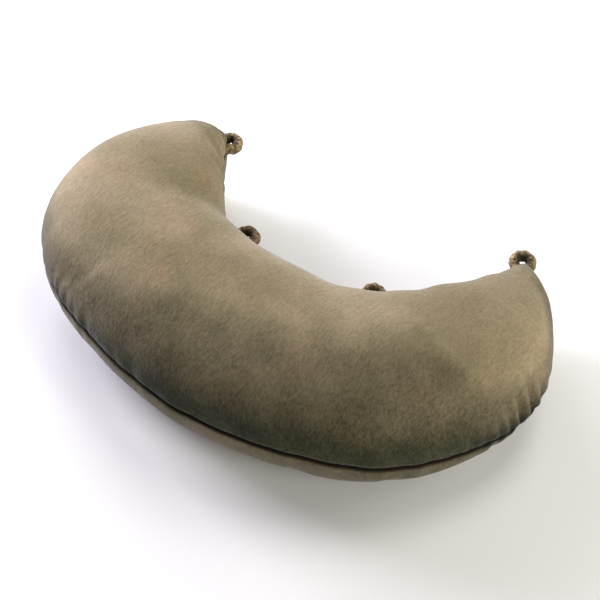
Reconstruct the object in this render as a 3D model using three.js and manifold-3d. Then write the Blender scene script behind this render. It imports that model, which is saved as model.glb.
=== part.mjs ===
// Crescent cushion in short-pile cloth, lying on its back on a table.
// Two curved panels are sewn together round the edge over a loose fill, and four cord loops
// are caught in the seam of the inner edge. Millimetres, Z up.
import * as THREE from "three";
import { mergeVertices } from "three/addons/utils/BufferGeometryUtils.js";
import Module from "manifold-3d";

// The seam that runs round the whole edge: height at the inner edge and the tips, depth, and
// how fast the cloth comes out of it
const SEAM_HEIGHT = 72;
const SEAM_DEPTH = 5;
const SEAM_REACH = 3.4;

// The filled body. A roundness of 2 is an ellipse, and more is squarer.
const TOP_ROUNDNESS = 2.2;
const BOTTOM_ROUNDNESS = 2.15;
const TIP_BLUNTNESS = 3.4;
const SIDE_BULGE = 0.012;
const UNDERSIDE_SAG = 1.05;
const STEPS_PER_QUARTER = 12;

// Cross-sections from the left tip to the right tip: the two ends of each on the seam, in plan,
// the height of the crown between them, the height of the seam at the outer end, how far the
// bottom panel is drawn in under it, and the steps from this section to the next
const SECTIONS = [
  { outerX: -196, outerY: 97, innerX: -196, innerY: 97, crown: 72, outerSeam: 72, tuck: 0, steps: 9 },
  { outerX: -254, outerY: 74, innerX: -170, innerY: 55, crown: 128, outerSeam: 72, tuck: 0, steps: 9 },
  { outerX: -302, outerY: -33, innerX: -139, innerY: 14, crown: 150, outerSeam: 72, tuck: 0, steps: 10 },
  { outerX: -282, outerY: -143, innerX: -107, innerY: -22, crown: 155, outerSeam: 72, tuck: 0, steps: 17 },
  { outerX: -188, outerY: -221, innerX: -58, innerY: -39, crown: 156, outerSeam: 72, tuck: 0, steps: 15 },
  { outerX: 4, outerY: -265, innerX: 0, innerY: -43, crown: 156, outerSeam: 71, tuck: 0, steps: 10 },
  { outerX: 190, outerY: -223, innerX: 60, innerY: -41, crown: 152, outerSeam: 69, tuck: 0, steps: 9 },
  { outerX: 277, outerY: -128, innerX: 110, innerY: -17, crown: 152, outerSeam: 57, tuck: 4, steps: 16 },
  { outerX: 305, outerY: -27, innerX: 153, innerY: 24, crown: 152, outerSeam: 55, tuck: 30, steps: 9 },
  { outerX: 262, outerY: 70, innerX: 181, innerY: 71, crown: 129, outerSeam: 66, tuck: 12, steps: 9 },
  { outerX: 202, outerY: 116, innerX: 202, innerY: 116, crown: 72, outerSeam: 72, tuck: 0, steps: 0 },
];

// Folds that the seam puckers into the top panel: where each starts on the edge, in sections
// from the left tip, how far it reaches from the seam, how far it leans towards the right tip
// over that length, its half width and its depth
const FOLDS = [
  { edge: "outer", at: 3.78, reach: 38, lean: 0, halfWidth: 7, depth: 1.8 },
  { edge: "outer", at: 3.93, reach: 50, lean: 1, halfWidth: 7, depth: 2.6 },
  { edge: "outer", at: 4.07, reach: 46, lean: 1, halfWidth: 8, depth: 2.4 },
  { edge: "outer", at: 4.27, reach: 40, lean: 2, halfWidth: 9, depth: 2 },
  { edge: "outer", at: 7.04, reach: 38, lean: -6, halfWidth: 8, depth: 1.6 },
  { edge: "outer", at: 7.23, reach: 46, lean: -9, halfWidth: 7.5, depth: 2 },
  { edge: "outer", at: 7.41, reach: 52, lean: -11, halfWidth: 7.5, depth: 2.5 },
  { edge: "outer", at: 7.59, reach: 62, lean: -14, halfWidth: 7.5, depth: 3 },
  { edge: "outer", at: 7.79, reach: 66, lean: -14, halfWidth: 8, depth: 3 },
  { edge: "inner", at: 0.55, reach: 46, lean: 2, halfWidth: 6, depth: 2.4 },
  { edge: "inner", at: 1.0, reach: 56, lean: 4, halfWidth: 7, depth: 2.8 },
  { edge: "inner", at: 1.45, reach: 44, lean: 4, halfWidth: 7, depth: 2.2 },
  { edge: "inner", at: 8.7, reach: 44, lean: -4, halfWidth: 7, depth: 2.2 },
];

// Cord of the loops. Each loop is trimmed so that it stops a gap away from the body, and edges
// shorter than the two details are merged in the trimming body and in the finished cord.
const CORD_RADIUS = 5.1;
const CORD_SIDES = 14;
const CORD_STEPS = 44;
const LOOP_GAP = 0.8;
const CUTTER_DETAIL = 0.35;
const CORD_DETAIL = 0.1;

// Cord loops: where the two legs leave the seam, in plan, the way each points and how it rises
const LOOPS = [
  { name: "loop_left_tip", x: -199, y: 89, aimDegrees: 42, riseDegrees: 0 },
  { name: "loop_left_inner", x: -88, y: -30, aimDegrees: 66, riseDegrees: 3 },
  { name: "loop_right_inner", x: 88, y: -24, aimDegrees: 110, riseDegrees: 9 },
  { name: "loop_right_tip", x: 200, y: 115, aimDegrees: 116, riseDegrees: 3 },
];

// Centre line of a loop: distance sideways and distance out from the seam
const LOOP_LINE = [
  { side: -5.4, out: -9 },
  { side: -5.7, out: -2 },
  { side: -8.4, out: 4 },
  { side: -9.8, out: 10.5 },
  { side: -7, out: 17 },
  { side: 0, out: 19.8 },
  { side: 7, out: 17 },
  { side: 9.8, out: 10.5 },
  { side: 8.4, out: 4 },
  { side: 5.7, out: -2 },
  { side: 5.4, out: -9 },
];

const PANEL_CLOTH = new THREE.MeshStandardMaterial({ color: 0x9a8b6e, roughness: 0.95, metalness: 0 });
const CORD_CLOTH = new THREE.MeshStandardMaterial({ color: 0x857455, roughness: 0.95, metalness: 0 });

const wasm = await Module();
wasm.setup();

// Smooth curve through the values of one column, at a place counted in rows
function smoothColumn(values, at) {
  const last = values.length - 1;
  const row = Math.min(Math.max(Math.floor(at), 0), last - 1);
  const part = at - row;
  const p1 = values[row];
  const p2 = values[row + 1];
  const p0 = row > 0 ? values[row - 1] : 2 * p1 - p2;
  const p3 = row + 2 <= last ? values[row + 2] : 2 * p2 - p1;
  const bend = 2 * p0 - 5 * p1 + 4 * p2 - p3;
  const twist = 3 * p1 - p0 - 3 * p2 + p3;
  return 0.5 * (2 * p1 + (p2 - p0) * part + bend * part ** 2 + twist * part ** 3);
}

// Both seam points, the heights and the tuck at a place along the crescent
function sectionAt(at) {
  const column = (key) => smoothColumn(SECTIONS.map((row) => row[key]), at);
  const crowns = SECTIONS.slice(1, -1).map((row) => row.crown);
  const crownAt = Math.min(Math.max(at - 1, 0), crowns.length - 1);
  const fromMiddle = Math.abs((2 * at) / (SECTIONS.length - 1) - 1);
  return {
    outer: new THREE.Vector2(column("outerX"), column("outerY")),
    inner: new THREE.Vector2(column("innerX"), column("innerY")),
    crown: smoothColumn(crowns, crownAt),
    outerSeam: column("outerSeam"),
    tuck: column("tuck"),
    topShare: Math.sqrt(Math.max(0, 1 - fromMiddle ** TIP_BLUNTNESS)),
    bottomShare: Math.sqrt(Math.max(0, 1 - fromMiddle ** (TIP_BLUNTNESS * 1.6))),
  };
}

// Places of the stations, in sections from the left tip, packed closer at both tips
function stationPlaces() {
  const last = SECTIONS.length - 2;
  return SECTIONS.slice(0, -1).flatMap((row, index) =>
    Array.from({ length: row.steps }, (_, step) => {
      const share = step / row.steps;
      if (index === 0) return share ** 2;
      if (index === last) return index + 1 - (1 - share) ** 2;
      return index + share;
    })
  );
}

// Angles round half a section, from the outer seam over to the inner one, closer at both seams
function halfSectionAngles() {
  const count = 2 * STEPS_PER_QUARTER;
  return Array.from({ length: count }, (_, step) => {
    const share = step / STEPS_PER_QUARTER;
    const rising = (Math.PI / 2) * Math.min(share, 2 - share) ** 1.7;
    return share <= 1 ? rising : Math.PI - rising;
  });
}

// One closed ring of points: over the top panel to the inner seam and back under the bottom one
function sectionRing(section) {
  const ring = [];
  const middle = section.outer.clone().add(section.inner).multiplyScalar(0.5);
  const half = section.outer.clone().sub(section.inner).multiplyScalar(0.5);
  const outward = half.clone().normalize();
  const crown = SEAM_HEIGHT + (section.crown - SEAM_HEIGHT) * section.topShare;
  for (const onTop of [true, false]) {
    const roundness = onTop ? TOP_ROUNDNESS : BOTTOM_ROUNDNESS;
    for (const angle of halfSectionAngles()) {
      const turn = onTop ? angle : Math.PI - angle;
      const across = Math.cos(turn);
      const width = Math.sign(across) * Math.abs(across) ** (2 / roundness);
      const swell = SIDE_BULGE * Math.sign(across) * Math.sin(2 * Math.min(turn, Math.PI - turn));
      const rise = Math.sin(turn) ** (2 / roundness);
      const level = SEAM_HEIGHT + ((section.outerSeam - SEAM_HEIGHT) * (1 + width)) / 2;
      const top = level + (crown - level) * rise;
      const bottom = Math.max(0, level * (1 - UNDERSIDE_SAG * section.bottomShare * rise));
      const plan = half.clone().multiplyScalar(width + swell).add(middle);
      const drawn = onTop ? 0 : section.tuck * (1 - bottom / level) * Math.max(0, width);
      plan.addScaledVector(outward, -drawn);
      ring.push(new THREE.Vector3(plan.x, plan.y, onTop ? top : bottom));
    }
  }
  return ring;
}

// Distance of each point of a ring from the nearer seam, along the cloth
function seamDistances(ring) {
  const count = ring.length;
  const run = [0];
  for (let k = 1; k <= count; k += 1) {
    run.push(run[k - 1] + ring[k % count].distanceTo(ring[k - 1]));
  }
  const inner = run[count / 2];
  return ring.map((_, k) => Math.min(run[k], Math.abs(run[k] - inner), run[count] - run[k]));
}

// Lengths along one edge of the crescent, up to each station
function edgeLengths(places, edge) {
  const lengths = [0];
  for (let k = 1; k < places.length; k += 1) {
    const step = sectionAt(places[k])[edge].distanceTo(sectionAt(places[k - 1])[edge]);
    lengths.push(lengths[k - 1] + step);
  }
  return lengths;
}

// Length along an edge at a place counted in sections
function lengthAt(places, lengths, at) {
  const next = Math.max(1, places.findIndex((place) => place >= at));
  const share = (at - places[next - 1]) / (places[next] - places[next - 1]);
  return lengths[next - 1] + share * (lengths[next] - lengths[next - 1]);
}

// How deep the folds are at a point of the top panel
function foldDepth(folds, edge, length, distance) {
  let depth = 0;
  for (const fold of folds) {
    if (fold.edge !== edge || distance > fold.reach) continue;
    const along = length - fold.start - (fold.lean * distance) / fold.reach;
    const fade = Math.cos((Math.PI / 2) * (distance / fold.reach)) ** 2;
    depth += fold.depth * fade * Math.exp(-((along / fold.halfWidth) ** 2));
  }
  return depth;
}

// The filled cushion as one closed surface, grown outwards by a given amount, with the seam and
// its folds drawn in or left smooth
function cushionGeometry(grow, sewn) {
  const places = [...stationPlaces(), SECTIONS.length - 1];
  const lengths = { outer: edgeLengths(places, "outer"), inner: edgeLengths(places, "inner") };
  const folds = FOLDS.map((fold) => ({ ...fold, start: lengthAt(places, lengths[fold.edge], fold.at) }));
  const tip = (section) => new THREE.Vector3(section.outer.x, section.outer.y, SEAM_HEIGHT);
  const rings = places.slice(1, -1).map((place) => sectionRing(sectionAt(place)));
  const points = [tip(sectionAt(0)), ...rings.flat(), tip(sectionAt(SECTIONS.length - 1))];
  const insets = [SEAM_DEPTH];
  rings.forEach((ring, index) => {
    const distances = seamDistances(ring);
    ring.forEach((_, k) => {
      const onTop = k < ring.length / 2;
      const edge = k < ring.length / 4 ? "outer" : "inner";
      const seam = SEAM_DEPTH * Math.exp(-distances[k] / SEAM_REACH);
      const fold = onTop ? foldDepth(folds, edge, lengths[edge][index + 1], distances[k]) : 0;
      insets.push(seam + fold);
    });
  });
  insets.push(SEAM_DEPTH);

  const around = rings[0].length;
  const faces = [];
  for (let k = 0; k < around; k += 1) {
    const next = (k + 1) % around;
    faces.push(0, 1 + k, 1 + next);
    for (let ring = 0; ring < rings.length - 1; ring += 1) {
      const here = 1 + ring * around;
      const there = here + around;
      faces.push(here + k, there + k, there + next, here + k, there + next, here + next);
    }
    const lastRing = 1 + (rings.length - 1) * around;
    faces.push(lastRing + k, points.length - 1, lastRing + next);
  }

  const geometry = new THREE.BufferGeometry().setFromPoints(points);
  geometry.setIndex(faces);
  geometry.computeVertexNormals();
  const position = geometry.getAttribute("position");
  const normal = geometry.getAttribute("normal");
  points.forEach((point, index) => {
    const outward = new THREE.Vector3().fromBufferAttribute(normal, index);
    const onTable = point.z === 0 && outward.z < -0.99;
    const inset = sewn && !onTable ? insets[index] : 0;
    const moved = point.clone().addScaledVector(outward, grow - inset);
    position.setXYZ(index, moved.x, moved.y, onTable ? -grow : moved.z);
  });
  geometry.computeVertexNormals();
  return geometry;
}

// A cord bent into a closed loop, its two legs side by side in the seam
function loopGeometry(loop) {
  const aim = THREE.MathUtils.degToRad(loop.aimDegrees);
  const rise = THREE.MathUtils.degToRad(loop.riseDegrees);
  const out = new THREE.Vector3(
    Math.cos(aim) * Math.cos(rise),
    Math.sin(aim) * Math.cos(rise),
    Math.sin(rise)
  );
  const side = new THREE.Vector3(-Math.sin(aim), Math.cos(aim), 0);
  const root = new THREE.Vector3(loop.x, loop.y, SEAM_HEIGHT);
  const line = LOOP_LINE.map((row) =>
    root.clone().addScaledVector(side, row.side).addScaledVector(out, row.out)
  );
  const outline = Array.from({ length: CORD_SIDES }, (_, k) => {
    const angle = (2 * Math.PI * k) / CORD_SIDES;
    return new THREE.Vector2(CORD_RADIUS * Math.cos(angle), CORD_RADIUS * Math.sin(angle));
  });
  return new THREE.ExtrudeGeometry(new THREE.Shape(outline), {
    steps: CORD_STEPS,
    extrudePath: new THREE.CatmullRomCurve3(line, false, "centripetal"),
    bevelEnabled: false,
  });
}

// Solid of a closed geometry
function solidOf(geometry) {
  const bare = geometry.clone();
  for (const key of Object.keys(bare.attributes)) {
    if (key !== "position") bare.deleteAttribute(key);
  }
  const merged = mergeVertices(bare, 1e-3);
  return new wasm.Manifold(
    new wasm.Mesh({
      numProp: 3,
      vertProperties: new Float32Array(merged.getAttribute("position").array),
      triVerts: new Uint32Array(merged.index.array),
    })
  );
}

// The largest of the separate pieces of a solid
function largestPiece(solid) {
  return solid.decompose().reduce((best, piece) => (piece.volume() > best.volume() ? piece : best));
}

// Geometry of a solid
function geometryOf(solid) {
  const mesh = solid.getMesh();
  const geometry = new THREE.BufferGeometry();
  geometry.setAttribute("position", new THREE.BufferAttribute(mesh.vertProperties, 3));
  geometry.setIndex(new THREE.BufferAttribute(mesh.triVerts, 1));
  geometry.computeVertexNormals();
  return geometry;
}

function namedMesh(name, geometry, material) {
  const mesh = new THREE.Mesh(geometry, material);
  mesh.name = name;
  return mesh;
}

const crescentCushion = new THREE.Group();
crescentCushion.name = "crescent_cushion";
crescentCushion.add(namedMesh("cushion", cushionGeometry(0, true), PANEL_CLOTH));

const keepOut = solidOf(cushionGeometry(LOOP_GAP, false)).simplify(CUTTER_DETAIL);
for (const loop of LOOPS) {
  const cut = solidOf(loopGeometry(loop)).subtract(keepOut).simplify(CORD_DETAIL);
  crescentCushion.add(namedMesh(loop.name, geometryOf(largestPiece(cut)), CORD_CLOTH));
}

// The origin is the middle of the base
const bounds = new THREE.Box3().setFromObject(crescentCushion);
const middle = bounds.getCenter(new THREE.Vector3());
for (const mesh of crescentCushion.children) {
  mesh.geometry.translate(-middle.x, -middle.y, -bounds.min.z);
}

export default crescentCushion;
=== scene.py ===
import math

import bpy
import numpy as np
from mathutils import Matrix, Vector


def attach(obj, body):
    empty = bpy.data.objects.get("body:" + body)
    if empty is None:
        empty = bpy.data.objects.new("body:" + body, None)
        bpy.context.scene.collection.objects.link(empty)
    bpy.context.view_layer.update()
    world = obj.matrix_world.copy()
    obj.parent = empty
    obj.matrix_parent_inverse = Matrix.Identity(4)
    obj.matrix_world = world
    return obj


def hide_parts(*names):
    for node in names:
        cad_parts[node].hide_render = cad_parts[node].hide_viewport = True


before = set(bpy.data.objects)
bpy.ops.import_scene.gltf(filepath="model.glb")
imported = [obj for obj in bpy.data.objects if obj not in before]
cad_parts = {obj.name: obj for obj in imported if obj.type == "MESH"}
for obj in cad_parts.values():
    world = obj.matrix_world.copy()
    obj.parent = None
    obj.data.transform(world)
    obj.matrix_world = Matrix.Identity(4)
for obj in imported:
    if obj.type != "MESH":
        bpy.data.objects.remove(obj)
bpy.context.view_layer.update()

# All sizes are in millimetres until a mesh is made, which is in metres.

# The tables' own origin, seen from the part's
TABLE_X = 0.971
TABLE_Y = -62.845

# The seam: its height at the tips and the inner edge, how deep it is drawn in, and how far from
# it the cloth is drawn in too
SEAM_HEIGHT = 72.0
SEAM_DEPTH = 7.0
SEAM_REACH = 2.9

# How full the cross-sections are: powers of both panels' curves, the extra width of the sides,
# and how far below the table the bottom panel would hang, so that it lies flat
TOP_ROUNDNESS = 2.2
BOTTOM_ROUNDNESS = 2.15
SIDE_BULGE = 0.012
UNDERSIDE_SAG = 1.05
# How blunt the cushion's tips are, and how much blunter its bottom panel is
TIP_BLUNTNESS = 3.4
BOTTOM_TIP_SHARE = 1.6

# The skin's grid: steps from a seam to the crown, and how much closer they lie at the seam
STEPS_PER_QUARTER = 22
SEAM_CROWDING = 1.7

# Cross-sections from the left tip to the right one: both ends on the seam, in plan, the height
# of the crown, the height of the seam at the outer end, how far the bottom panel is drawn in
# under it, and the steps to the next section
SECTION_COLUMNS = (
    "outer_x", "outer_y", "inner_x", "inner_y", "crown", "outer_seam", "tuck", "steps"
)
SECTIONS = (
    (-196, 97, -196, 97, 72, 72, 0, 20),
    (-254, 74, -170, 55, 128, 72, 0, 22),
    (-302, -33, -139, 14, 150, 72, 0, 24),
    (-282, -143, -107, -22, 155, 72, 0, 28),
    (-188, -221, -58, -39, 156, 72, 0, 30),
    (4, -265, 0, -43, 156, 71, 0, 26),
    (190, -223, 60, -41, 152, 69, 0, 22),
    (277, -128, 110, -17, 152, 57, 4, 28),
    (305, -27, 153, 24, 152, 55, 30, 22),
    (262, 70, 181, 71, 129, 66, 12, 20),
    (202, 116, 202, 116, 72, 72, 0, 0),
)

# A fold fades towards its end, by this power of a cosine, and towards the seam: the share of
# its depth that it has lost there, and how far from the seam this reaches
FOLD_FADE = 1.5
FOLD_SEAM_LOSS = 0.8
FOLD_SEAM_REACH = 7
# The ridge on both sides of a fold: share of its depth, and half widths from its middle
RIDGE_SHARE = 0.35
RIDGE_PLACE = 2
# Folds that the seam puckers into the panels: the panel, the edge, where each starts in sections
# from the left tip, how far it reaches, how far it leans to the right, half width and depth
FOLD_COLUMNS = ("panel", "edge", "at", "reach", "lean", "half_width", "depth")
FOLDS = (
    ("top", "outer", 3.70, 26, 0, 4.0, 1.2),
    ("top", "outer", 3.80, 34, 0, 4.5, 2.0),
    ("top", "outer", 3.91, 48, 1, 4.5, 3.2),
    ("top", "outer", 4.02, 44, 1, 4.5, 2.8),
    ("top", "outer", 4.12, 34, 1, 4.5, 1.6),
    ("top", "outer", 4.25, 42, 2, 5.0, 3.0),
    ("top", "outer", 4.33, 30, 2, 5.0, 1.8),
    ("top", "outer", 4.52, 30, 2, 6.0, 1.2),
    ("top", "outer", 4.66, 26, 2, 6.0, 1.0),
    ("top", "outer", 6.86, 30, -4, 6.0, 1.2),
    ("top", "outer", 7.04, 36, -6, 5.5, 1.6),
    ("top", "outer", 7.22, 44, -9, 5.5, 2.2),
    ("top", "outer", 7.38, 52, -12, 4.6, 4.4),
    ("top", "outer", 7.51, 62, -14, 4.6, 5.8),
    ("top", "outer", 7.66, 72, -16, 4.8, 7.0),
    ("top", "outer", 7.84, 76, -16, 4.8, 6.6),
    ("top", "outer", 8.02, 56, -10, 4.8, 3.8),
    ("top", "outer", 8.25, 30, -4, 5.0, 1.4),
    ("top", "inner", 0.42, 40, 2, 4.5, 2.4),
    ("top", "inner", 0.72, 56, 3, 5.0, 3.2),
    ("top", "inner", 1.08, 62, 4, 6.0, 3.4),
    ("top", "inner", 1.45, 50, 4, 6.0, 2.6),
    ("top", "inner", 1.80, 36, 4, 6.0, 1.8),
    ("top", "inner", 8.45, 40, -4, 6.0, 2.0),
    ("top", "inner", 8.90, 44, -4, 6.0, 2.4),
    ("top", "outer", 0.80, 34, 2, 6.0, 1.8),
    ("top", "outer", 9.30, 34, -2, 6.0, 1.8),
    ("bottom", "outer", 3.85, 34, 0, 5.0, 2.2),
    ("bottom", "outer", 4.20, 30, 0, 5.0, 2.0),
    ("bottom", "outer", 7.30, 34, 0, 5.0, 2.2),
    ("bottom", "outer", 7.62, 40, 0, 5.0, 2.8),
    ("bottom", "outer", 7.95, 34, 0, 5.0, 2.4),
    ("bottom", "inner", 1.10, 40, 0, 6.0, 2.6),
    ("bottom", "inner", 8.80, 40, 0, 6.0, 2.6),
)

# Uneven cloth. Gathers along the seam: depth, reach, steps to a swing and seed
GATHER_DEPTH = 0.8
GATHER_REACH = 16
GATHER_NOISE = (2.4, 11)
# Slow waves: depth, distance from the seam at which they are full, and steps to a swing and
# seed, once for the waves along the cushion and once for those around it
WAVE_DEPTH = 1.3
WAVE_REACH = 40
WAVE_LENGTHWAYS = (9, 5)
WAVE_AROUND = (11, 6)

# Filling pressed into the cloth: how much smaller the cloth starts, from how far from the seam,
# the extra length of the cloth, the most that a point may move, in metres, the steps, and what
# stays put: the cloth near the seam and what lies on the table, below a height in metres
SLACK = 0.5
SLACK_REACH = 30
EXTRA_CLOTH = 0.006
MOST_MOVE = 0.001
PRESS_STEPS = 20
HELD_REACH = 4.0
HELD_HEIGHT = 0.003

# How deep the outer seam is drawn in: section, and share of the full depth
SEAM_DRAW = ((0, 1), (6.9, 1), (7.4, 0.45), (8.3, 0.45), (8.8, 1), (10, 1))
# The distance from the outer seam that the painted shade in its groove goes by: section, and
# share of the real distance. Less than 1 makes the dark line wider.
GROOVE_SHADE_NARROWNESS = ((0, 1), (7.1, 1), (7.5, 0.55), (8.4, 0.55), (8.8, 1), (10, 1))

# Pile lying down and painted shade towards the seam: section, and how far from the seam they
# reach
PILE_AND_SHADE_REACH = (
    (0, 60),
    (3.2, 60),
    (3.9, 72),
    (4.3, 90),
    (4.7, 140),
    (5.2, 155),
    (6, 175),
    (6.8, 165),
    (7.25, 80),
    (8, 60),
    (10, 60),
)
# How far the pile stands up, unshaded: share of that reach, from 0 flat and shaded to 1 upright
PILE_STANDS_UNSHADED = ((0, 0), (0.15, 0.04), (0.34, 0.34), (0.5, 0.47), (0.7, 0.57), (1, 1))
# Painted shadow on the bottom panel's right end: section, and how far its pile counts as standing
# up
UNDERSIDE_UNSHADED = ((0, 1), (5, 1), (6.2, 0.5), (10, 0.5))

# The loops' cord: radius, height as a share of width, points along it and around it, and how far
# from the seam the middle of the ring is
CORD_RADIUS = 6.0
CORD_HEIGHT = 1.2
CORD_STEPS = 121
CORD_SIDES = 28
LOOP_MIDDLE = 10.0
# Lumps of the cord's pile: how many waves are added, the height of each, and its turn between
# two knots of the centre line, in radians
LUMP_WAVES = 14
LUMP_HEIGHT = 0.13
LUMP_TURN = 0.63
# The legs are pinched flat where they go into the seam: share, distance out and reach
PINCH_SHARE = 0.45
PINCH_PLACE = -9
PINCH_REACH = 5.0
# Cord loops: where the legs leave the seam, in plan, the way each points and how far it rises
LOOP_COLUMNS = ("x", "y", "aim_degrees", "rise_degrees")
LOOPS = {
    "loop_left_tip": (-199, 89, 42, 0),
    "loop_left_inner": (-88, -30, 66, 3),
    "loop_right_inner": (88, -24, 110, 9),
    "loop_right_tip": (200, 115, 116, 3),
}
# Centre line of a loop: distance sideways, distance out from the seam
LOOP_LINE = (
    (-5.4, -9),
    (-5.7, -2),
    (-8.4, 4),
    (-9.8, 10.5),
    (-7, 17),
    (0, 19.8),
    (7, 17),
    (9.8, 10.5),
    (8.4, 4),
    (5.7, -2),
    (5.4, -9),
)

# Camera, from the photograph: direction to the object, distance, focal length in picture
# widths, and where the point 60 mm above the tables' origin falls in the picture
CAMERA_AZIMUTH = 33.5
CAMERA_ELEVATION = 47.5
CAMERA_DISTANCE = 1880.0
FOCAL_WIDTHS = 2.7511
SENSOR_WIDTH = 36
PICTURE_SIDE = 600.0
AIM_X = 317.0
AIM_Y = 264.5
AIM_HEIGHT = 60.0

# Soft lights: azimuth from behind the cushion to its right, elevation, distance and side in
# metres, power and colour
LIGHTS = (
    ("left_light", -88, 20, 2.2, 1.0, 78, (0.89, 0.86, 1.0)),
    ("left_back_light", -52, 24, 2.2, 1.0, 26, (0.97, 0.97, 1.0)),
    ("right_back_light", 45, 16, 2.2, 1.0, 18, (1.0, 0.97, 0.9)),
    ("right_light", 102, 24, 2.2, 1.0, 27, (1.0, 0.97, 0.9)),
    ("high_back_light", 10, 62, 2.2, 1.0, 17, (1.0, 0.98, 0.93)),
)
# In metres: the point that they face, the floor's side and its level, just under the table
LIGHTS_FACE = (0, 0, 0.08)
FLOOR_SIDE = 30
FLOOR_LEVEL = -0.0005
# The pale room's own light: colour and strength
ROOM_COLOUR = (1.0, 0.98, 0.95, 1)
ROOM_STRENGTH = 0.1


def columns(names, rows):
    """A table's columns by name."""
    return {name: np.array([row[k] for row in rows], float) for k, name in enumerate(names)}


def smooth_column(values, at):
    """Smooth curve through the values, at places counted in rows."""
    last = len(values) - 1
    row = np.clip(np.floor(at).astype(int), 0, last - 1)
    part = at - row
    run = np.concatenate([[2 * values[0] - values[1]], values, [2 * values[-1] - values[-2]]])
    p0, p1, p2, p3 = run[row], run[row + 1], run[row + 2], run[row + 3]
    bend = 2 * p0 - 5 * p1 + 4 * p2 - p3
    twist = 3 * p1 - p0 - 3 * p2 + p3
    return 0.5 * (2 * p1 + (p2 - p0) * part + bend * part**2 + twist * part**3)


def station_places():
    """Places of the stations in sections from the left tip, packed closer at both tips."""
    last = len(SECTIONS) - 2
    places = []
    for index, row in enumerate(SECTIONS[:-1]):
        share = np.arange(row[-1]) / row[-1]
        if index == 0:
            places.append(share**2)
        elif index == last:
            places.append(index + 1 - (1 - share) ** 2)
        else:
            places.append(index + share)
    return np.concatenate(places + [[last + 1.0]])


def half_angles():
    """Angles from one seam over to the other, closer together at both."""
    share = np.arange(2 * STEPS_PER_QUARTER) / STEPS_PER_QUARTER
    rising = math.pi / 2 * np.minimum(share, 2 - share) ** SEAM_CROWDING
    return np.where(share <= 1, rising, math.pi - rising)


def smooth_noise(count, wave, seed):
    """A smooth random line over a number of steps, about wave steps to a swing, from -1 to 1."""
    knots = np.random.default_rng(seed).uniform(-1, 1, int(count / wave) + 4)
    return smooth_column(knots, np.linspace(1, len(knots) - 2, count))


def rings_of(places):
    """The plain filled shape: a ring of points for each station, and the two edges in plan."""
    table = columns(SECTION_COLUMNS, SECTIONS)
    outer = np.stack([smooth_column(table[name], places) for name in ("outer_x", "outer_y")], 1)
    inner = np.stack([smooth_column(table[name], places) for name in ("inner_x", "inner_y")], 1)
    crown = smooth_column(table["crown"][1:-1], np.clip(places - 1, 0, len(SECTIONS) - 3))
    from_middle = np.abs(2 * places / (len(SECTIONS) - 1) - 1)
    top_share = np.sqrt(np.clip(1 - from_middle**TIP_BLUNTNESS, 0, None))
    bottom_bluntness = TIP_BLUNTNESS * BOTTOM_TIP_SHARE
    bottom_share = np.sqrt(np.clip(1 - from_middle**bottom_bluntness, 0, None))
    crown = SEAM_HEIGHT + (crown - SEAM_HEIGHT) * top_share
    outer_seam = smooth_column(table["outer_seam"], places)[:, None]
    tuck = smooth_column(table["tuck"], places)[:, None]
    span = np.maximum(np.linalg.norm(outer - inner, axis=1), 0.001)[:, None]
    inward = (inner - outer) / span
    halves = []
    for on_top, roundness in ((True, TOP_ROUNDNESS), (False, BOTTOM_ROUNDNESS)):
        turn = half_angles() if on_top else math.pi - half_angles()
        across = np.cos(turn)
        swell = SIDE_BULGE * np.sign(across) * np.sin(2 * np.minimum(turn, math.pi - turn))
        width = np.sign(across) * np.abs(across) ** (2 / roundness) + swell
        rise = np.sin(turn) ** (2 / roundness)
        plan = (outer + inner)[:, None] / 2 + (outer - inner)[:, None] / 2 * width[None, :, None]
        level = SEAM_HEIGHT + (outer_seam - SEAM_HEIGHT) * (1 + width) / 2
        height = level + (crown[:, None] - level) * rise
        if not on_top:
            height = np.maximum(0, level * (1 - UNDERSIDE_SAG * bottom_share[:, None] * rise))
            drawn = tuck * (1 - height / level) * np.maximum(0, width)
            plan = plan + inward[:, None] * drawn[:, :, None]
        halves.append(np.concatenate([plan, height[:, :, None]], 2))
    return np.concatenate(halves, 1), outer, inner


def edge_lengths(edge):
    """Length along an edge up to each station."""
    return np.concatenate([[0], np.cumsum(np.linalg.norm(np.diff(edge, axis=0), axis=1))])


def seam_distances(rings):
    """Distance of every point from the nearer seam, along the cloth."""
    steps = np.linalg.norm(np.roll(rings, -1, axis=1) - rings, axis=2)
    run = np.concatenate([np.zeros((len(rings), 1)), np.cumsum(steps, axis=1)], 1)
    around = rings.shape[1]
    inner = run[:, around // 2][:, None]
    here = run[:, :around]
    return np.minimum(np.minimum(here, np.abs(here - inner)), run[:, -1:] - here)


def fold_depths(places, lengths, distance):
    """How deep the folds are at every point."""
    around = distance.shape[1]
    quarter = around // 4
    sides = {
        ("top", "outer"): slice(0, quarter),
        ("top", "inner"): slice(quarter, 2 * quarter),
        ("bottom", "inner"): slice(2 * quarter, 3 * quarter),
        ("bottom", "outer"): slice(3 * quarter, around),
    }
    depth = np.zeros_like(distance)
    for row in FOLDS:
        fold = dict(zip(FOLD_COLUMNS, row))
        side = sides[fold["panel"], fold["edge"]]
        far = distance[:, side]
        start = np.interp(fold["at"], places, lengths[fold["edge"]])
        along = lengths[fold["edge"]][:, None] - start - fold["lean"] * far / fold["reach"]
        fade = np.cos(math.pi / 2 * np.clip(far / fold["reach"], 0, 1)) ** FOLD_FADE
        fade *= 1 - FOLD_SEAM_LOSS * np.exp(-((far / FOLD_SEAM_REACH) ** 2))
        half = fold["half_width"]
        valley = np.exp(-((along / half) ** 2))
        ridges = RIDGE_SHARE * np.exp(-(((np.abs(along) - RIDGE_PLACE * half) / half) ** 2))
        depth[:, side] += fold["depth"] * fade * (valley - ridges)
    return depth


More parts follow.
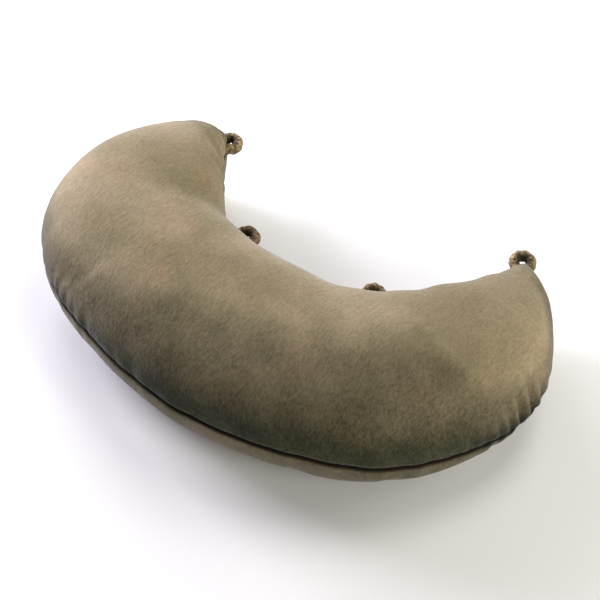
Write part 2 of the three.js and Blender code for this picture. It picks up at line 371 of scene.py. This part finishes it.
def grid_faces(stations, around):
    """Quads between rings, and a fan of triangles at each tip."""
    faces = []
    last = 1 + (stations - 1) * around
    for k in range(around):
        near = (k + 1) % around
        faces.append((0, 1 + k, 1 + near))
        for ring in range(stations - 1):
            here = 1 + ring * around
            faces.append((here + k, here + around + k, here + around + near, here + near))
        faces.append((last + k, last + around, last + near))
    return faces


def to_metres(points):
    """From the tables' millimetres to the part's metres."""
    return (np.asarray(points) - (TABLE_X, TABLE_Y, 0)) / 1000


def new_piece(name, points, faces):
    """A smooth-shaded mesh object."""
    mesh = bpy.data.meshes.new(name)
    mesh.from_pydata(to_metres(points).tolist(), [], faces)
    mesh.validate()
    mesh.update()
    mesh.shade_smooth()
    piece = bpy.data.objects.new(name, mesh)
    bpy.context.scene.collection.objects.link(piece)
    return piece


def point_normals(mesh):
    """Normals of a mesh's points."""
    normals = np.empty(len(mesh.vertices) * 3)
    mesh.vertex_normals.foreach_get("vector", normals)
    return normals.reshape(-1, 3)


def press_out(cushion, seam_mm):
    """Lets the filling press the cloth out from its sewn edge, and keeps the creases it makes."""
    mesh = cushion.data
    count = len(mesh.vertices)
    start = np.empty(count * 3)
    mesh.vertices.foreach_get("co", start)
    start = start.reshape(-1, 3)
    held = np.where(start[:, 2] < HELD_HEIGHT, 1.0, np.exp(-((seam_mm / HELD_REACH) ** 2)))
    group = cushion.vertex_groups.new(name="held")
    for index, weight in enumerate(held):
        group.add([index], float(weight), "REPLACE")
    cloth = cushion.modifiers.new("filling", "CLOTH")
    settings = cloth.settings
    settings.quality = 6
    settings.mass = 0.25
    settings.tension_stiffness = 18
    settings.compression_stiffness = 18
    settings.shear_stiffness = 6
    settings.bending_stiffness = 0.15
    settings.use_pressure = True
    settings.uniform_pressure_force = 4
    settings.shrink_min = -EXTRA_CLOTH
    settings.vertex_group_mass = "held"
    settings.effector_weights.gravity = 0
    cloth.collision_settings.use_collision = False
    for step in range(1, PRESS_STEPS + 1):
        bpy.context.scene.frame_set(step)
    pressed = cushion.evaluated_get(bpy.context.evaluated_depsgraph_get()).data
    end = np.empty(count * 3)
    pressed.vertices.foreach_get("co", end)
    move = end.reshape(-1, 3) - start
    far = np.linalg.norm(move, axis=1)[:, None]
    move *= np.minimum(1, MOST_MOVE / np.maximum(far, 1e-9))
    cushion.modifiers.remove(cloth)
    cushion.vertex_groups.remove(group)
    bpy.context.scene.frame_set(1)
    settled = start + move
    settled[:, 2] = np.maximum(settled[:, 2], 0)
    mesh.vertices.foreach_set("co", settled.ravel())
    mesh.update()


def add_value(mesh, name, values):
    """A named value on every point."""
    layer = mesh.attributes.new(name, "FLOAT", "POINT")
    layer.data.foreach_set("value", np.asarray(values, np.float32))


def build_cushion():
    """The filled cushion: crowned panels, the drawn-in seam round the edge, and its folds."""
    places = station_places()
    rings, outer, inner = rings_of(places)
    lengths = {"outer": edge_lengths(outer), "inner": edge_lengths(inner)}
    distance = seam_distances(rings)
    around = rings.shape[1]
    at = np.arange(around)
    inner_half = (at >= around // 4) & (at < 3 * around // 4)
    body = slice(1, -1)

    draw = np.where(inner_half, 1, np.interp(places, *zip(*SEAM_DRAW))[:, None])
    seam = SEAM_DEPTH * draw * np.exp(-distance / SEAM_REACH)
    inset = seam + fold_depths(places, lengths, distance)
    gather = smooth_noise(len(places), *GATHER_NOISE)[:, None] * np.exp(-distance / GATHER_REACH)
    lengthways = smooth_noise(len(places), *WAVE_LENGTHWAYS)
    wave = lengthways[:, None] * smooth_noise(around, *WAVE_AROUND)[None, :]
    inset += GATHER_DEPTH * gather + WAVE_DEPTH * wave * np.clip(distance / WAVE_REACH, 0, 1)
    inset += SLACK * np.clip(distance / SLACK_REACH, 0, 1)

    tips = [(*outer[0], SEAM_HEIGHT), (*outer[-1], SEAM_HEIGHT)]
    points = np.vstack([tips[0], rings[body].reshape(-1, 3), tips[1]])
    insets = np.concatenate([[SEAM_DEPTH], inset[body].ravel(), [SEAM_DEPTH]])
    faces = grid_faces(len(places) - 2, around)
    cushion = new_piece("cushion_cloth", points, faces)
    outward = point_normals(cushion.data)
    on_table = (points[:, 2] == 0) & (outward[:, 2] < -0.99)
    moved = points - outward * np.where(on_table, 0, insets)[:, None]
    moved[:, 2] = np.maximum(moved[:, 2], 0)
    cushion.data.vertices.foreach_set("co", to_metres(moved).ravel())
    cushion.data.update()

    # What the material reads: the distance from the seam, the panel, and how the pile stands;
    # the first sets the groove's painted shade, the last the painted shade near the seam and
    # underneath
    top = at < around // 2
    reach = np.interp(places, *zip(*PILE_AND_SHADE_REACH))[:, None]
    run = np.where(inner_half, 2 * distance[:, around // 4][:, None] - distance, distance)
    upright = np.interp(run / reach, *zip(*PILE_STANDS_UNSHADED))
    pile = np.where(top, upright, np.interp(places, *zip(*UNDERSIDE_UNSHADED))[:, None])
    far = np.concatenate([[0], distance[body].ravel(), [0]])
    press_out(cushion, far)
    # The groove's painted dark line is drawn wider at the right end's outer edge
    narrow = np.where(inner_half, 1, np.interp(places[body], *zip(*GROOVE_SHADE_NARROWNESS))[:, None])
    add_value(cushion.data, "seam_mm", far * np.concatenate([[1], narrow.ravel(), [1]]))
    panel = np.tile(top, len(places) - 2)
    add_value(cushion.data, "top_panel", np.concatenate([[1], panel, [1]]))
    add_value(cushion.data, "pile", np.concatenate([[0], pile[body].ravel(), [0]]))
    subdivide(cushion, 1)
    return cushion


def subdivide(piece, levels):
    """Rounds a piece off between its points."""
    rounding = piece.modifiers.new("rounding", "SUBSURF")
    rounding.levels = levels
    rounding.render_levels = levels


def build_loop(name, row):
    """A covered cord bent into a loop, pinched where its legs go into the seam."""
    loop = dict(zip(LOOP_COLUMNS, row))
    aim, rise = math.radians(loop["aim_degrees"]), math.radians(loop["rise_degrees"])
    level = math.cos(rise)
    out = np.array([math.cos(aim) * level, math.sin(aim) * level, math.sin(rise)])
    side = np.array([-math.sin(aim), math.cos(aim), 0])
    up = np.cross(out, side)
    root = np.array([loop["x"], loop["y"], SEAM_HEIGHT])
    knots = np.array(LOOP_LINE, float)
    at = np.linspace(0, len(knots) - 1, CORD_STEPS)
    sideways, outwards = smooth_column(knots[:, 0], at), smooth_column(knots[:, 1], at)
    line = root + sideways[:, None] * side + outwards[:, None] * out
    ahead = np.gradient(line, axis=0)
    ahead /= np.linalg.norm(ahead, axis=1)[:, None]
    flat = np.cross(up, ahead)
    around = CORD_SIDES
    angle = np.arange(around) * 2 * math.pi / around
    random = np.random.default_rng(sum(map(ord, name)))
    lumps = np.zeros((len(at), around))
    for _ in range(LUMP_WAVES):
        waves, turns = random.integers(3, 15), random.integers(0, 4)
        phase = random.uniform(0, 6.28)
        lumps += LUMP_HEIGHT * np.sin(waves * at[:, None] * LUMP_TURN + turns * angle + phase)
    pinch = 1 - PINCH_SHARE * np.exp(-((outwards - PINCH_PLACE) / PINCH_REACH) ** 2)
    radius = CORD_RADIUS + lumps
    rising = radius * CORD_HEIGHT * np.sin(angle) * pinch[:, None]
    ring = flat[:, None] * (radius * np.cos(angle))[:, :, None] + up * rising[:, :, None]
    points = (line[:, None] + ring).reshape(-1, 3)
    faces = []
    for step in range(len(at) - 1):
        for k in range(around):
            near = (k + 1) % around
            here, there = step * around, (step + 1) * around
            faces.append((here + k, here + near, there + near, there + k))
    faces.append(tuple(reversed(range(around))))
    faces.append(tuple((len(at) - 1) * around + k for k in range(around)))
    cord = new_piece(name + "_cord", points, faces)
    # Which side of the ring each point faces: the material paints shade on the inner side from it
    centre = root + out * LOOP_MIDDLE
    inward = centre - line
    inward /= np.linalg.norm(inward, axis=1)[:, None]
    facing = np.sum(ring * inward[:, None], axis=2) / CORD_RADIUS
    add_value(cord.data, "inside", facing.ravel())
    return cord


# Materials


def new_material(name):
    """A material with an empty node tree."""
    material = bpy.data.materials.new(name)
    material.use_nodes = True
    material.node_tree.nodes.clear()
    return material


class Graph:
    """Adds nodes to a material and joins them."""

    def __init__(self, material):
        self.tree = material.node_tree

    def node(self, kind, inputs=None, **settings):
        made = self.tree.nodes.new(kind)
        for key, value in settings.items():
            setattr(made, key, value)
        for key, value in (inputs or {}).items():
            self.join(value, made.inputs[key])
        return made

    def join(self, value, socket):
        if isinstance(value, bpy.types.NodeSocket):
            self.tree.links.new(value, socket)
        elif isinstance(value, bpy.types.Node):
            self.tree.links.new(value.outputs[0], socket)
        else:
            socket.default_value = value

    def value(self, name):
        return self.node("ShaderNodeAttribute", attribute_name=name).outputs["Fac"]

    def maths(self, operation, first, second=0.0, third=0.0):
        inputs = {0: first, 1: second, 2: third}
        return self.node("ShaderNodeMath", inputs, operation=operation).outputs[0]

    def ramp(self, value, low, high, to_low=0.0, to_high=1.0):
        ends = {"From Min": low, "From Max": high, "To Min": to_low, "To Max": to_high}
        inputs = {"Value": value, **ends}
        return self.node("ShaderNodeMapRange", inputs, interpolation_type="SMOOTHSTEP").outputs[0]

    def noise(self, vector, scale, detail=3.0, roughness=0.55):
        inputs = {"Vector": vector, "Scale": scale, "Detail": detail, "Roughness": roughness}
        return self.node("ShaderNodeTexNoise", inputs).outputs["Fac"]

    def blend(self, factor, first, second, blend_type="MIX"):
        mixer = self.node("ShaderNodeMix", data_type="RGBA", blend_type=blend_type)
        self.join(factor, mixer.inputs[0])
        self.join(first, mixer.inputs[6])
        self.join(second, mixer.inputs[7])
        return mixer.outputs[2]

    def grey(self, value):
        return self.node("ShaderNodeCombineColor", {0: value, 1: value, 2: value}).outputs[0]


def colour(red, green, blue):
    """A colour given in screen values from 0 to 255, as the shader's own."""
    shares = (red / 255, green / 255, blue / 255)
    return (*(c / 12.92 if c <= 0.04045 else ((c + 0.055) / 1.055) ** 2.4 for c in shares), 1.0)


# Light, dark and warm shades of both cloths, and the painted shade in the seam's groove
PANEL_SHADES = (colour(145, 132, 105), colour(126, 115, 87), colour(152, 124, 97))
CORD_SHADES = (colour(154, 138, 110), colour(104, 89, 66), colour(144, 120, 92))
GROOVE_SHADE_COLOUR = colour(26, 20, 13)
# Painted shade: the cloth's colour is multiplied by these where the pile lies down on top, and on
# the bottom panel
LYING_PILE_SHADE_TINT = (0.118, 0.156, 0.130, 1.0)
UNDERSIDE_SHADE_TINT = (0.66, 0.71, 0.73, 1.0)
# The painted shade in the seam's groove: where its dark line begins to fade and where it ends
GROOVE_SHADE_RANGE = (1.8, 6.0)
# How much stronger the grain is where the pile lies down
LYING_GRAIN = 2.4

# Noises in the cloth: scale, detail and roughness. The last three are drawn out along the pile.
SLOW_NOISE = (7.0, 3.0, 0.55)
PATCH_NOISE = (26.0, 2.0, 0.5)
WARM_NOISE = (15.0, 2.0, 0.5)
TUFT_NOISE = (260.0, 2.0, 0.5)
CLUMP_NOISE = (180.0, 2.0, 0.6)
STREAK_NOISE = (380.0, 3.0, 0.55)
FIBRE_NOISE = (800.0, 2.0, 0.6)
LAY_SCALE = (1.0, 0.4, 0.5)
# The part of a noise's values that counts
NOISE_RANGE = (0.3, 0.7)


def velour(name, shades, on_cushion):
    """Short-pile velour: streaks of pile, slow changes of shade, a soft sheen, and painted shade.
    """
    light, dark, tint = shades
    material = new_material(name)
    g = Graph(material)
    place = g.node("ShaderNodeTexCoord").outputs["Object"]
    lay = g.node("ShaderNodeMapping", {"Vector": place, "Scale": LAY_SCALE}).outputs[0]
    slow = g.noise(place, *SLOW_NOISE)
    patch = g.noise(place, *PATCH_NOISE)
    warm = g.noise(place, *WARM_NOISE)
    clump = g.noise(lay, *CLUMP_NOISE)
    streak = g.noise(lay, *STREAK_NOISE)
    fibre = g.noise(lay, *FIBRE_NOISE)

    body = g.blend(g.ramp(slow, 0.35, 0.65), dark, light)
    body = g.blend(g.ramp(warm, 0.5, 0.72, 0.0, 0.35), body, tint)
    shade = g.ramp(streak, *NOISE_RANGE, 0.9, 1.1)
    for noise, strength in ((patch, 0.03), (clump, 0.03), (fibre, 0.09)):
        shade = g.maths("ADD", shade, g.ramp(noise, *NOISE_RANGE, -strength, strength))
    if on_cushion:
        # The pile's lie, which is also the painted shade near the seam and under the right end, a
        # little uneven
        stands_unshaded = g.maths("ADD", g.value("pile"), g.ramp(patch, 0.2, 0.8, -0.05, 0.05))
        stands_unshaded = g.node("ShaderNodeClamp", {"Value": stands_unshaded}).outputs[0]
        grain = g.ramp(stands_unshaded, 0.0, 1.0, LYING_GRAIN, 1.0)
        shade = g.maths("MULTIPLY_ADD", g.maths("SUBTRACT", shade, 1.0), grain, 1.0)
    else:
        tuft = g.noise(place, *TUFT_NOISE)
        shade = g.maths("MULTIPLY", shade, g.ramp(tuft, 0.4, 0.62, 0.55, 1.5))
        # Painted shade on the inner side of each cord's ring, and painted light on its outer side
        shade = g.maths("MULTIPLY", shade, g.ramp(g.value("inside"), -0.5, 0.8, 1.25, 0.3))
    body = g.blend(1.0, body, g.grey(shade), "MULTIPLY")
    if on_cushion:
        # Painted shade where the pile lies down, and over the whole bottom panel
        lying_shaded = g.blend(1.0, body, LYING_PILE_SHADE_TINT, "MULTIPLY")
        under = g.blend(1.0, body, UNDERSIDE_SHADE_TINT, "MULTIPLY")
        body = g.blend(stands_unshaded, lying_shaded, g.blend(g.value("top_panel"), under, body))
        # Painted shade in the seam's groove
        groove_shade = g.ramp(g.value("seam_mm"), *GROOVE_SHADE_RANGE)
        body = g.blend(groove_shade, GROOVE_SHADE_COLOUR, body)

    height = g.maths("ADD", g.maths("MULTIPLY", streak, 0.9), g.maths("MULTIPLY", fibre, 0.35))
    height = g.maths("ADD", height, g.maths("MULTIPLY", clump, 0.3))
    bump = g.node("ShaderNodeBump", {"Strength": 0.6, "Distance": 0.0016, "Height": height})
    shader = g.node("ShaderNodeBsdfPrincipled", {"Base Color": body, "Normal": bump.outputs[0]})
    shader.inputs["Roughness"].default_value = 0.92
    shader.inputs["Specular IOR Level"].default_value = 0.12
    shader.inputs["Sheen Weight"].default_value = 0.2
    shader.inputs["Sheen Roughness"].default_value = 0.35
    shader.inputs["Sheen Tint"].default_value = (0.92, 0.95, 1.0, 1.0)
    g.node("ShaderNodeOutputMaterial", {"Surface": shader})
    return material


def give(piece, material, slot, *nodes):
    """Finishes a piece, fixes it to the body and puts it in place of its CAD nodes."""
    piece.data.materials.clear()
    piece.data.materials.append(material)
    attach(piece, "root")
    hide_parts(*nodes)


# Camera, lights and floor


def build_camera():
    """The photograph's camera, aimed so that the object falls where it is in the picture."""
    azimuth, elevation = math.radians(CAMERA_AZIMUTH), math.radians(CAMERA_ELEVATION)
    back = Vector((
        math.sin(azimuth) * math.cos(elevation),
        -math.cos(azimuth) * math.cos(elevation),
        math.sin(elevation),
    ))
    right = Vector((math.cos(azimuth), math.sin(azimuth), 0))
    up = back.cross(right)
    middle = Vector((0, 0, AIM_HEIGHT))
    eye = middle + back * CAMERA_DISTANCE
    focal = FOCAL_WIDTHS * PICTURE_SIDE
    aim = middle + right * (PICTURE_SIDE / 2 - AIM_X) * CAMERA_DISTANCE / focal
    aim += up * (AIM_Y - PICTURE_SIDE / 2) * CAMERA_DISTANCE / focal
    data = bpy.data.cameras.new("photo_camera")
    data.lens = SENSOR_WIDTH * FOCAL_WIDTHS
    data.sensor_width = SENSOR_WIDTH
    data.clip_start = 0.05
    data.clip_end = 50
    camera = bpy.data.objects.new("photo_camera", data)
    camera.location = Vector(to_metres(eye))
    camera.rotation_mode = "QUATERNION"
    camera.rotation_quaternion = (aim - eye).to_track_quat("-Z", "Y")
    bpy.context.scene.collection.objects.link(camera)
    bpy.context.scene.camera = camera


def add_light(name, azimuth, elevation, distance, size, power, tint):
    """A square soft light round the cushion, facing its middle; azimuth 0 is behind it."""
    data = bpy.data.lights.new(name, "AREA")
    data.shape = "SQUARE"
    data.size = size
    data.energy = power
    data.color = tint
    turn, rise = math.radians(azimuth), math.radians(elevation)
    level = math.cos(rise)
    way = Vector((math.sin(turn) * level, math.cos(turn) * level, math.sin(rise)))
    light = bpy.data.objects.new(name, data)
    light.location = Vector(LIGHTS_FACE) + way * distance
    light.rotation_mode = "QUATERNION"
    light.rotation_quaternion = (-way).to_track_quat("-Z", "Y")
    bpy.context.scene.collection.objects.link(light)


def build_stage():
    """A plain pale floor, soft lights round the cushion, and a pale surrounding."""
    bpy.ops.mesh.primitive_plane_add(size=FLOOR_SIDE, location=(0, 0, FLOOR_LEVEL))
    floor = bpy.context.object
    floor.name = "pale_floor"
    material = new_material("pale_floor")
    g = Graph(material)
    cloudy = g.noise(g.node("ShaderNodeTexCoord").outputs["Object"], 1.5, 2.0)
    pale = g.blend(g.ramp(cloudy, 0.3, 0.7), (0.86, 0.86, 0.86, 1), (0.9, 0.9, 0.9, 1))
    shader = g.node("ShaderNodeBsdfPrincipled", {"Base Color": pale})
    shader.inputs["Roughness"].default_value = 0.9
    g.node("ShaderNodeOutputMaterial", {"Surface": shader})
    floor.data.materials.append(material)

    world = bpy.data.worlds.new("pale_room")
    world.use_nodes = True
    background = world.node_tree.nodes["Background"]
    background.inputs["Color"].default_value = ROOM_COLOUR
    background.inputs["Strength"].default_value = ROOM_STRENGTH
    bpy.context.scene.world = world
    for row in LIGHTS:
        add_light(*row)


build_camera()
build_stage()

panel_velour = velour("panel_velour", PANEL_SHADES, True)
cord_velour = velour("cord_velour", CORD_SHADES, False)

cushion = build_cushion()
give(cushion, panel_velour, "panel_cloth", "cushion")
for loop_name, loop_row in LOOPS.items():
    give(build_loop(loop_name, loop_row), cord_velour, "cord_cloth", loop_name)

bpy.context.scene.view_settings.view_transform = "Standard"
